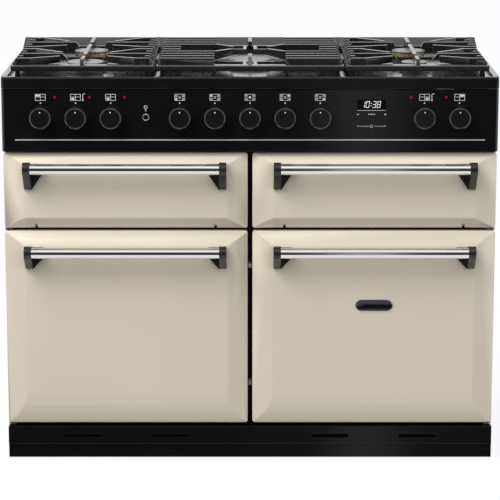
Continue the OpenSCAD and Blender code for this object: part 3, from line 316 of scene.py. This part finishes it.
# ---------------------------------------------------------------- hob
# The hob is one pressed sheet in gloss black enamel, which mirrors the burners. Its raised rim and
# rear upstand are rounded where the sheet turns over.
hob_round = 0.005
hob_shortest_edge = 0.0002
rim_depth = 0.02            # the front strip of the hob that is rounded
rim_rise = 0.0245           # from the hob's lowest edge to the rounded part
hob_enamel, tap, shader = finish("hob_enamel", grey(0.006), 0.1, Specular_IOR_Level=0.35)
speck = noise(tap, 300.0)
smear = noise(tap, 9.0, 4.0)
tap.feed(shader.inputs["Roughness"], 0.07 + smear * 0.1)
relief(tap, shader, speck, 0.03, 0.001, edge=0.003)
dress(hob_enamel, "hob_top")
hob_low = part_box("hob_top")[0]
softened("hob_top", hob_enamel, "casing", hob_round, steps=5, least=hob_shortest_edge,
         behind=hob_low[1] + rim_depth, above=hob_low[2] + rim_rise, flatten=False)

# ---------------------------------------------------------------- oven enamel
# Liners, inner door pressings and the grill pan have a dark vitreous enamel with fine pale specks,
# dull enough to hide cooking marks.
vitreous, tap, shader = finish("oven_enamel", (0.02, 0.022, 0.026), 0.35)
place = tap.node("ShaderNodeTexCoord", out=3)
fleck = tap.node("ShaderNodeTexVoronoi", None, {"Vector": place, "Scale": 420.0})
stain = noise(tap, 8.0, 5.0)
enamel = stain.step(0.4, 0.7).mix((0.018, 0.019, 0.022), (0.030, 0.029, 0.029))
tap.feed(shader.inputs["Base Color"], fleck.step(0.1, 0.22).mix((0.16, 0.17, 0.19), enamel))
tap.feed(shader.inputs["Roughness"], 0.3 + stain * 0.15)
dress(vitreous, "oven_liners", "top_liners", "grill_pan", "left_oven_door_inner",
      "right_oven_door_inner", "grill_door_inner", "small_oven_door_inner")

# ---------------------------------------------------------------- burner caps
# The caps are pressed steel discs in a matt grey enamel, finely speckled. They lie loose on the
# flame rings.
cap_enamel, tap, shader = finish("cap_enamel", grey(0.25), 0.4, Specular_IOR_Level=0.5)
speck = noise(tap, 500.0, 3.0)
tap.feed(shader.inputs["Base Color"], speck.step(0.35, 0.7).mix(grey(0.155), (0.205, 0.205, 0.20)))
relief(tap, shader, speck, 0.1, 0.0005, edge=0.0012)
dress(cap_enamel, "burner_caps")

# ---------------------------------------------------------------- cast iron
# The pan supports are cast iron under a satin black enamel, which rounds every edge of the casting.
# The grain of the sand mould shows faintly in its shade and its sheen.
supports = ("left_pan_support", "centre_pan_support", "right_pan_support")
casting_round = 0.0016
iron, tap, shader = finish("cast_iron", grey(0.012), 0.3, Specular_IOR_Level=0.9)
sand = noise(tap, 260.0)
tap.feed(shader.inputs["Base Color"], sand.step(0.4, 0.7).mix(grey(0.009), grey(0.016)))
tap.feed(shader.inputs["Roughness"], 0.16 + sand * 0.06)
dress(iron, *supports)
for node in supports:
    softened(node, iron, node + "_body", casting_round)

# ---------------------------------------------------------------- chrome
# Handle tubes and oven shelves are bright nickel and chrome plate, with faint lines from polishing.
# The lines run along the tubes.
chrome, tap, shader = finish("chrome", grey(0.86), 0.06, Metallic=1.0)
lines = noise(tap, 1.0, stretch=(3.0, 900.0, 900.0))
tap.feed(shader.inputs["Roughness"], 0.04 + lines * 0.07)
dress(chrome, "left_oven_handle_bar", "right_oven_handle_bar", "grill_handle_bar",
      "small_oven_handle_bar", "oven_shelves")

# ---------------------------------------------------------------- satin black fittings
# The handle brackets are zinc castings in satin black. The knobs and buttons are black mouldings,
# a little glossier.
satin, tap, shader = finish("satin_black", grey(0.014), 0.22, Specular_IOR_Level=0.6)
speck = noise(tap, 700.0)
tap.feed(shader.inputs["Roughness"], 0.18 + speck * 0.08)
relief(tap, shader, speck, 0.02, 0.0004, edge=0.0015, samples=8)
dress(satin, "left_oven_handle_brackets", "right_oven_handle_brackets", "grill_handle_brackets",
      "small_oven_handle_brackets")

knob_names = [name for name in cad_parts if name.endswith("_knob")]
button_names = [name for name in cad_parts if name.endswith("_button")]
moulding, tap, shader = finish("black_moulding", grey(0.006), 0.15, Specular_IOR_Level=0.6,
                               Coat_Weight=0.4, Coat_Roughness=0.08, Coat_IOR=1.6)
speck = noise(tap, 900.0)
tap.feed(shader.inputs["Roughness"], 0.12 + speck * 0.06)
relief(tap, shader, speck, 0.01, 0.0003, edge=0.0008, samples=8)
dress(moulding, *knob_names, *button_names)

# ---------------------------------------------------------------- zinc sheet
# The back, the base tray and the feet are zinc-plated steel, and the plate shows its spangle.
zinc, tap, shader = finish("zinc_sheet", (0.55, 0.56, 0.57), 0.4, Metallic=1.0)
place = tap.node("ShaderNodeTexCoord", out=3)
spangle = tap.node("ShaderNodeTexVoronoi", None, {"Vector": place, "Scale": 60.0}, out=1)
tap.feed(shader.inputs["Base Color"], spangle.step(0.2, 0.9).mix((0.50, 0.51, 0.53), (0.60, 0.61, 0.62)))
tap.feed(shader.inputs["Roughness"], 0.32 + spangle * 0.15)
dress(zinc, "back_panel", "base_frame", "front_left_foot", "front_right_foot", "rear_left_foot",
      "rear_right_foot")

# ---------------------------------------------------------------- oven fittings
# Fans, fan covers, elements and door fittings are bare steel, which heat has stained brown. A woven
# seal runs round each oven's mouth, and the switches behind the panel are pale mouldings.
stained, tap, shader = finish("stained_steel", (0.4, 0.39, 0.38), 0.35, Metallic=1.0)
stain = noise(tap, 14.0, 5.0)
tap.feed(shader.inputs["Base Color"], stain.step(0.35, 0.7).mix(grey(0.42), (0.30, 0.26, 0.22)))
tap.feed(shader.inputs["Roughness"], 0.28 + stain * 0.2)
dress(stained, "fan_housings", "left_oven_fan", "right_oven_fan", "heating_elements", "door_fittings")

seal, tap, shader = finish("woven_seal", grey(0.05), 0.85)
place = tap.node("ShaderNodeTexCoord", out=3)
weave = tap.node("ShaderNodeTexWave", {"bands_direction": "DIAGONAL"}, {"Vector": place, "Scale": 180.0})
tap.feed(shader.inputs["Base Color"], weave.mix(grey(0.03), (0.10, 0.10, 0.095)))
relief(tap, shader, weave, 0.5, 0.0006)
dress(seal, "door_seals")

pale_moulding, tap, shader = finish("switch_moulding", (0.7, 0.69, 0.65), 0.5)
speck = noise(tap, 200.0)
tap.feed(shader.inputs["Roughness"], 0.4 + speck * 0.2)
dress(pale_moulding, "oven_switches")

# ---------------------------------------------------------------- burners and pipes
# The burner cups are cast aluminium, with the grain of the mould, and the gas taps and pipes are a
# like grey metal. The flame rings are brass, dark with tarnish.
cast_alloy, tap, shader = finish("cast_aluminium", grey(0.5), 0.42, Metallic=1.0)
sand = noise(tap, 300.0, 4.0)
tap.feed(shader.inputs["Base Color"], sand.step(0.3, 0.7).mix(grey(0.38), grey(0.55)))
relief(tap, shader, sand, 0.15, 0.0005)
dress(cast_alloy, "burner_bases", "gas_pipes")

brass, tap, shader = finish("flame_ring_brass", (0.75, 0.52, 0.22), 0.28, Metallic=1.0)
tarnish = noise(tap, 30.0, 4.0)
tap.feed(shader.inputs["Base Color"], tarnish.step(0.35, 0.75).mix((0.50, 0.36, 0.17), (0.32, 0.21, 0.10)))
tap.feed(shader.inputs["Roughness"], 0.22 + tarnish * 0.18)
dress(brass, "burner_rings")

# ---------------------------------------------------------------- clock
# The clock is a dark glass window in the panel, which shows light slanted digits of up to seven
# bars each and a colon of two dots.
glass, tap, shader = finish("clock_glass", grey(0.002), 0.05, Specular_IOR_Level=0.1)
smear = noise(tap, 50.0, 3.0)
tap.feed(shader.inputs["Roughness"], 0.03 + smear * 0.06)
dress(glass, "clock_display")
proud = 0.00015             # how far print lies in front of what it is on
clock_low, clock_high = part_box("clock_display")
clock_x = (clock_low[0] + clock_high[0]) / 2
clock_z = (clock_low[2] + clock_high[2]) / 2
digit_y = clock_low[1] - proud
digit_w, digit_h, stroke, lean = 0.0075, 0.0145, 0.0010, 0.16
bar_gap = stroke * 0.7
colon_x, colon_z, colon_r = -0.0008, 0.003, 0.0009
bars_of = {"0": "abcdef", "1": "bc", "3": "abcdg", "8": "abcdefg"}


def bar(bm, x0, x1, z0, z1, y, lean=0.0, base=0.0):
    """A flat printed bar that faces the front, and may lean like an italic stroke."""
    corners = [(x0, z0), (x1, z0), (x1, z1), (x0, z1)]
    bm.faces.new([bm.verts.new((x + lean * (z - base), y, z)) for x, z in corners])


def circle(bm, x, y, z, radius, steps):
    """A loop of corners round an axis that points to the front."""
    angles = [2 * math.pi * i / steps for i in range(steps)]
    return [bm.verts.new((x + radius * math.cos(a), y, z + radius * math.sin(a))) for a in angles]


def bridge(bm, loops):
    """Faces from each closed loop of corners to the next."""
    for a, b in zip(loops, loops[1:]):
        for i in range(len(a)):
            j = (i + 1) % len(a)
            bm.faces.new((a[i], a[j], b[j], b[i]))


def ring(bm, x, z, outer, inner, y, steps):
    """A flat printed ring, or a dot where the inner radius is 0."""
    rim = circle(bm, x, y, z, outer, steps)
    if inner:
        bridge(bm, [rim, circle(bm, x, y, z, inner, steps)])
    else:
        bm.faces.new(rim)


digits_bm = bmesh.new()
for text, x in (("1", -0.0185), ("0", -0.0085), ("3", 0.0060), ("8", 0.0160)):
    left, low = clock_x + x - digit_w / 2, clock_z - digit_h / 2
    right, top = left + digit_w, low + digit_h
    across = (left + bar_gap, right - bar_gap)
    upper = (clock_z + bar_gap, top - bar_gap)
    lower = (low + bar_gap, clock_z - bar_gap)
    bars = {"a": (*across, top - stroke, top),
            "b": (right - stroke, right, *upper),
            "c": (right - stroke, right, *lower),
            "d": (*across, low, low + stroke),
            "e": (left, left + stroke, *lower),
            "f": (left, left + stroke, *upper),
            "g": (*across, clock_z - stroke / 2, clock_z + stroke / 2)}
    for part in bars_of[text]:
        bar(digits_bm, *bars[part], digit_y, lean, clock_z)
for z in (-colon_z, colon_z):
    ring(digits_bm, clock_x + colon_x + lean * z, clock_z + z, colon_r, 0, digit_y, 12)
digits = build("clock_digits", digits_bm, smooth=False)
digit_glow, tap, shader = finish("digit_glow", (0.8, 0.85, 0.85), 0.4, Emission_Strength=0.5)
flicker = noise(tap, 900.0)
tap.feed(shader.inputs["Emission Color"], flicker.mix((0.75, 0.85, 0.85), (0.95, 1.0, 1.0)))
digits.data.materials.append(digit_glow)
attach(digits, "casing")

# ---------------------------------------------------------------- printed panel
# The panel's print is a pale ink: an icon of the hob or of the compartments over each knob with the
# controlled place filled in, a dot for the knob's rest position, and the marks round the clock.
ink, tap, shader = finish("panel_ink", grey(0.62), 0.5)
speck = noise(tap, 1500.0)
tap.feed(shader.inputs["Base Color"], speck.mix(grey(0.50), grey(0.72)))
panel_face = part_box("control_panel")[0][1]
print_y = panel_face - proud
over_y = print_y - proud    # print that lies over other print
icon_w, icon_h, icon_z, line = 0.0230, 0.0146, 0.8315, 0.0010
icon_low, icon_high = icon_z - icon_h / 2, icon_z + icon_h / 2
print_bm = bmesh.new()


def knob_x(name):
    low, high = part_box(name)
    return (low[0] + high[0]) / 2


def frame_line(bm, x0, x1, z0, z1, width, y):
    """The outline of a rectangle."""
    bar(bm, x0, x1, z0, z0 + width, y)
    bar(bm, x0, x1, z1 - width, z1, y)
    bar(bm, x0, x0 + width, z0 + width, z1 - width, y)
    bar(bm, x1 - width, x1, z0 + width, z1 - width, y)


# The four compartments: the filled cell is given as its side and its row
compartments = {"grill_knob": (-1, 1), "left_oven_heat_knob": (-1, -1), "left_oven_mode_knob": (-1, -1),
                "right_oven_knob": (1, -1), "small_oven_knob": (1, 1)}
floor_low, floor_high = 0.0005, 0.0013
for name, cell in compartments.items():
    x = knob_x(name)
    x0, x1 = x - icon_w / 2, x + icon_w / 2
    frame_line(print_bm, x0, x1, icon_low, icon_high, line, print_y)
    bar(print_bm, x - line / 2, x + line / 2, icon_low + line, icon_high - line, print_y)
    bar(print_bm, x0 + line, x1 - line, icon_z + floor_low, icon_z + floor_high, print_y)
    low_cell = (icon_low + 2 * line, icon_z - line)
    high_cell = (icon_z + 2 * line, icon_high - 1.5 * line)
    cells = {(-1, -1): (x0 + 2.5 * line, x - 2.5 * line, *low_cell),
             (-1, 1): (x0 + line, x - line / 2, *high_cell),
             (1, -1): (x + 2.5 * line, x1 - 2.5 * line, *low_cell),
             (1, 1): (x + line / 2, x1 - line, *high_cell)}
    bar(print_bm, *cells[cell], over_y)

# The hob: a ring for each burner, and a dot for the one that the knob controls
hobs = {"front_left_burner_knob": (-1, -1), "rear_left_burner_knob": (-1, 1), "centre_burner_knob": (0, 0),
        "rear_right_burner_knob": (1, 1), "front_right_burner_knob": (1, -1)}
burner_apart, burner_rise, burner_r, burner_hole_r = 0.0076, 0.0036, 0.0026, 0.0016
for name, lit in hobs.items():
    x = knob_x(name)
    frame_line(print_bm, x - icon_w / 2, x + icon_w / 2, icon_low, icon_high, line * 0.8, print_y)
    for column, row in hobs.values():
        hole_r = 0 if (column, row) == lit else burner_hole_r
        ring(print_bm, x + column * burner_apart, icon_z + row * burner_rise, burner_r, hole_r, over_y, 20)

# The dot of each knob's rest position
rest_z, rest_r = 0.8187, 0.0016
for name in knob_names:
    ring(print_bm, knob_x(name), rest_z, rest_r, 0, print_y, 20)

# A thermometer beside the icons of the two ovens: stem, top stroke and bulb
stem_x, stem_w, stem_low, stem_high, stroke_w = 0.0155, 0.0014, -0.0055, 0.0085, 0.0060
bulb_z, bulb_r = -0.0062, 0.0019
for name in ("left_oven_heat_knob", "right_oven_knob"):
    x = knob_x(name) + stem_x
    bar(print_bm, x, x + stem_w, icon_z + stem_low, icon_z + stem_high, print_y)
    bar(print_bm, x, x + stroke_w, icon_z + stem_high - stem_w, icon_z + stem_high, print_y)
    ring(print_bm, x + stem_w / 2, icon_z + bulb_z, bulb_r, 0, print_y, 16)

# A light bulb over the light button: glass and two lines of its cap
light_x = knob_x("oven_light_button")
ring(print_bm, light_x, 0.8095, 0.0040, 0.0027, print_y, 24)
for half_w, z0, z1 in ((0.0017, 0.8030, 0.8042), (0.0013, 0.8010, 0.8021)):
    bar(print_bm, light_x - half_w, light_x + half_w, z0, z1, print_y)

# Round the clock: a minus, five short marks and a plus over the buttons, a line over them, and an
# open frame under them that ends in a ring below the middle button
minus_x, mode_x, plus_x = (knob_x("clock_%s_button" % part) for part in ("minus", "mode", "plus"))
label_z, label_half = 0.7937, 0.0005
minus_half, plus_half, plus_rise = 0.0025, 0.0022, 0.0022
mark_apart, mark_half_w, mark_half_h = 0.0032, 0.0009, 0.0012
line_low, line_high = 0.8020, 0.8028
frame_low, frame_high, frame_top, hook_w = 0.7667, 0.7674, 0.7700, 0.0008
frame_left, frame_right = minus_x - 0.0005, plus_x + 0.0005
ring_half, ring_z, ring_r, ring_hole_r = 0.0055, 0.7670, 0.0033, 0.0025
for x, half in ((minus_x, minus_half), (plus_x, plus_half)):
    bar(print_bm, x - half, x + half, label_z - label_half, label_z + label_half, print_y)
bar(print_bm, plus_x - label_half, plus_x + label_half, label_z - plus_rise, label_z + plus_rise, over_y)
for i in range(-2, 3):
    x = mode_x + i * mark_apart
    bar(print_bm, x - mark_half_w, x + mark_half_w, label_z - mark_half_h, label_z + mark_half_h, print_y)
bar(print_bm, frame_left, frame_right, line_low, line_high, print_y)
for x0, x1 in ((frame_left, mode_x - ring_half), (mode_x + ring_half, frame_right)):
    bar(print_bm, x0, x1, frame_low, frame_high, print_y)
for x in (frame_left, frame_right - hook_w):
    bar(print_bm, x, x + hook_w, frame_low, frame_top, over_y)
ring(print_bm, mode_x, ring_z, ring_r, ring_hole_r, print_y, 24)
panel_print = build("panel_print", print_bm, smooth=False)
panel_print.data.materials.append(ink)
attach(panel_print, "casing")

# ---------------------------------------------------------------- knob dots
# Each knob's face carries a small white dot, a spot of the same ink in a shallow dimple near the
# rim.
dot_up, dot_r, dot_in = 0.0135, 0.0018, 0.0003
for name in knob_names:
    low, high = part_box(name)
    dot_bm = bmesh.new()
    ring(dot_bm, knob_x(name), (low[2] + high[2]) / 2 + dot_up, dot_r, 0, low[1] + dot_in, 24)
    dot = build(name + "_dot", dot_bm, smooth=False)
    dot.data.materials.append(ink)
    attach(dot, name + "_body")

# ---------------------------------------------------------------- lamps
# Five red neon lamps shine through round moulded lenses, which stand a little proud of the panel.
lamp_places = (-0.431, -0.354, -0.277, 0.3554, 0.433)
lens_profile = [(0.0032, 0.0), (0.0032, 0.0004), (0.0027, 0.0008), (0.0014, 0.0011)]
neon, tap, shader = finish("neon_lens", (0.16, 0.003, 0.004), 0.2, Emission_Strength=0.03)
heat = noise(tap, 400.0)
tap.feed(shader.inputs["Emission Color"], heat.mix((0.55, 0.005, 0.01), (0.8, 0.03, 0.02)))


def turned(bm, x, z, profile, steps):
    """A turned form on an axis that points to the front, from (radius, distance forward) pairs."""
    loops = [circle(bm, x, panel_face - out, z, radius, steps) for radius, out in profile]
    bridge(bm, loops)
    return loops


for number, x in enumerate(lamp_places, 1):
    lamp_bm = bmesh.new()
    loops = turned(lamp_bm, x, icon_z, lens_profile, 24)
    lamp_bm.faces.new(loops[-1])
    lamp = build("lamp_%d" % number, lamp_bm)
    lamp.data.materials.append(neon)
    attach(lamp, "casing")

# ---------------------------------------------------------------- trim strip
# A polished strip with bevelled edges runs along the panel's foot. Brushing has left fine lines
# along it.
trim_z, trim_half, trim_h, trim_out = 0.7362, 0.520, 0.0030, 0.0012
trim_profile = ((-trim_h / 2, 0.0), (-trim_h / 4, trim_out), (trim_h / 4, trim_out), (trim_h / 2, 0.0))
trim_bm = bmesh.new()
ends = [[trim_bm.verts.new((x, panel_face - out, trim_z + z)) for z, out in trim_profile]
        for x in (-trim_half, trim_half)]
for i in range(3):
    trim_bm.faces.new((ends[0][i], ends[0][i + 1], ends[1][i + 1], ends[1][i]))
for end in ends:
    trim_bm.faces.new(end)
trim = build("panel_trim", trim_bm, smooth=False)
bright, tap, shader = finish("bright_trim", grey(0.7), 0.3, Metallic=0.5)
lines = noise(tap, 1.0, stretch=(4.0, 800.0, 800.0))
tap.feed(shader.inputs["Roughness"], 0.25 + lines * 0.15)
trim.data.materials.append(bright)
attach(trim, "casing")

# ---------------------------------------------------------------- light button ring
# The light button sits in a turned and chromed ring, which is pressed into the panel.
ring_profile = [(0.0078, 0.0), (0.0078, 0.0014), (0.0070, 0.0022), (0.0060, 0.0022), (0.0057, 0.0012)]
button_low, button_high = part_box("oven_light_button")
ring_bm = bmesh.new()
turned(ring_bm, light_x, (button_low[2] + button_high[2]) / 2, ring_profile, 36)
button_ring = build("light_button_ring", ring_bm)
button_ring.data.materials.append(chrome)
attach(button_ring, "casing")

# ---------------------------------------------------------------- bare plate
# A small dark plate with a bright rim and round ends is stuck to the right oven door. It carries
# nothing.
plate_x, plate_z, plate_w, plate_h = 0.2785, 0.3608, 0.085, 0.029
plate_levels = [(1.0, 0.0), (1.0, 0.0012), (0.97, 0.0016), (0.90, 0.0016), (0.88, 0.0011)]
door_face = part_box("right_oven_door")[0][1]
plate_bm = bmesh.new()
corner = plate_h / 2
half = plate_w / 2 - corner
arc = [(half + corner * math.cos(a), corner * math.sin(a)) for a in
       [math.radians(-90 + 15 * i) for i in range(13)]]
outline = arc + [(-x, -z) for x, z in arc]
loops = []
for share, out in plate_levels:
    inset = corner * (1 - share)
    loops.append([plate_bm.verts.new((plate_x + x * (1 - inset / (plate_w / 2)), door_face - out,
                                      plate_z + z * (1 - inset / corner))) for x, z in outline])
bridge(plate_bm, loops)
inner = plate_bm.faces.new(loops[-1])
inner.material_index = 1
plate = build("door_plate", plate_bm)
plate.data.materials.append(chrome)
plate.data.materials.append(black)
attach(plate, "right_oven_door_body")

# ---------------------------------------------------------------- vent shade
# Two layers of near-black sheet behind each vent of the plinth are painted shade, standing for the dark
# inside of the base.
vent_places = (-0.380, -0.181, 0.181, 0.380)
shade_sheet_half, shade_sheet_low, shade_sheet_high = 0.048, 0.046, 0.064
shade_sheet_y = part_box("plinth")[0][1] + 0.0022
layer_apart = 0.0006
# The sheets' near-black colour and its faint waves are painted shade.
shade_sheet, tap, shader = finish("vent_shade_sheets", grey(0.002), 0.9, Specular_IOR_Level=0.0)
place = tap.node("ShaderNodeTexCoord", out=3)
shade_waves = tap.node("ShaderNodeTexWave", None, {"Vector": place, "Scale": 300.0})
tap.feed(shader.inputs["Base Color"], shade_waves.mix(grey(0.001), grey(0.004)))
shade_sheet_bm = bmesh.new()
for x in vent_places:
    for y in (shade_sheet_y, shade_sheet_y + layer_apart):
        bar(shade_sheet_bm, x - shade_sheet_half, x + shade_sheet_half, shade_sheet_low, shade_sheet_high, y)
vent_shade_sheets = build("vent_shade_sheets", shade_sheet_bm, smooth=False)
vent_shade_sheets.data.materials.append(shade_sheet)
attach(vent_shade_sheets, "casing")
